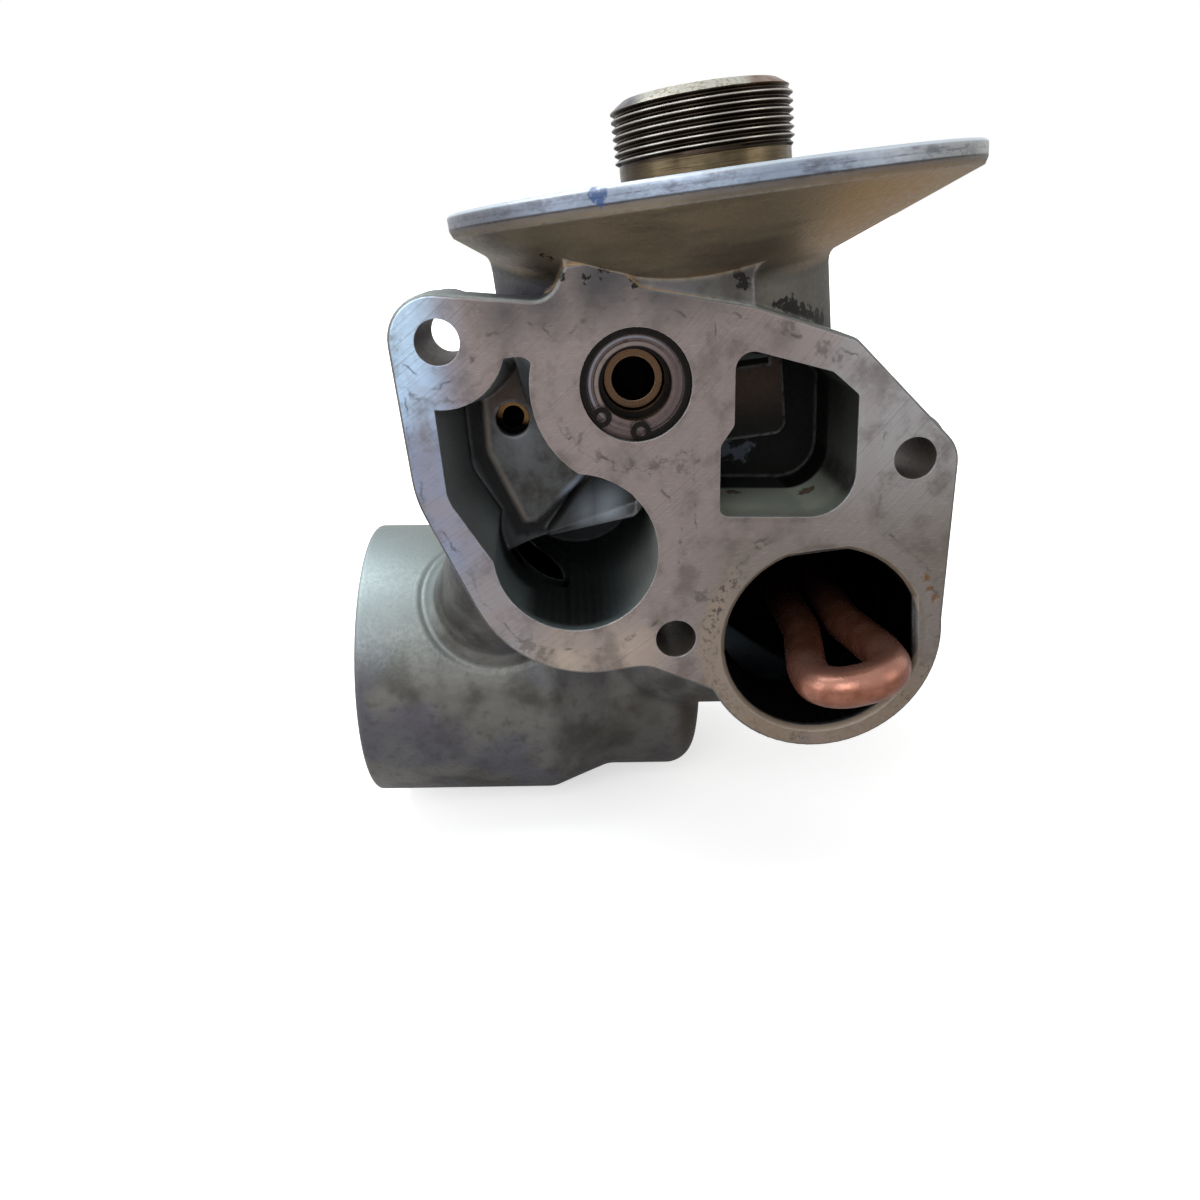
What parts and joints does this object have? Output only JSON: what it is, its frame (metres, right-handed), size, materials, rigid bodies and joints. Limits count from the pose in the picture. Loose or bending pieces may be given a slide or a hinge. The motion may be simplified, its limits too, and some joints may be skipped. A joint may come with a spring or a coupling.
{
  "type": "oil cooler header",
  "caption": "Cast rear header of an engine oil cooler, with ports in its mounting face, a filter mount, a relief valve, a coolant heater and a socket for the cooler tube.",
  "frame": {"origin": "centre of the relief valve's bore on the machined mounting face", "axes": "-Y is the way the mounting face looks, +Z is along the filter's thread towards the filter, +X is to the right seen from the front of the face"},
  "size_m": [0.1651, 0.1365, 0.1819],
  "materials": {
    "cast_aluminium": "sand cast, stained, with machined faces",
    "nipple_steel": "turned, with a worn yellow passivated skin",
    "bright_steel": "turned and oily",
    "spring_steel": "drawn wire, oiled",
    "copper_tube": "dull reddish copper, tarnished",
    "brass": "turned, dull",
    "inlet_plastic": "moulded, matt"
  },
  "bodies": {
    "header": {"header_casting": "cast_aluminium", "filter_nipple": "nipple_steel", "relief_retaining_ring": "spring_steel", "relief_retainer": "bright_steel", "relief_spring": "spring_steel", "bypass_spring": "spring_steel", "bypass_plug": "bright_steel", "bypass_washer": "copper_tube", "heater_element": "copper_tube", "heater_plug": "brass", "heater_seal": "copper_tube", "heater_socket": "inlet_plastic", "heater_pins": "bright_steel", "oil_port_plug": "brass"},
    "relief_valve": {"relief_plunger": "bright_steel"},
    "bypass_valve": {"bypass_poppet": "bright_steel"}
  },
  "joints": [
    {"name": "relief_lift", "type": "slide", "parent": "header", "child": "relief_valve", "axis": [0, -1, 0], "range_m": [0, 0.005], "stiffness_N_per_m": 1500, "springref_m": -0.008, "deforming": ["relief_spring"]},
    {"name": "bypass_lift", "type": "slide", "parent": "header", "child": "bypass_valve", "axis": [0, 1, 0], "range_m": [0, 0.0035], "stiffness_N_per_m": 1200, "springref_m": -0.006, "deforming": ["bypass_spring"]}
  ]
}
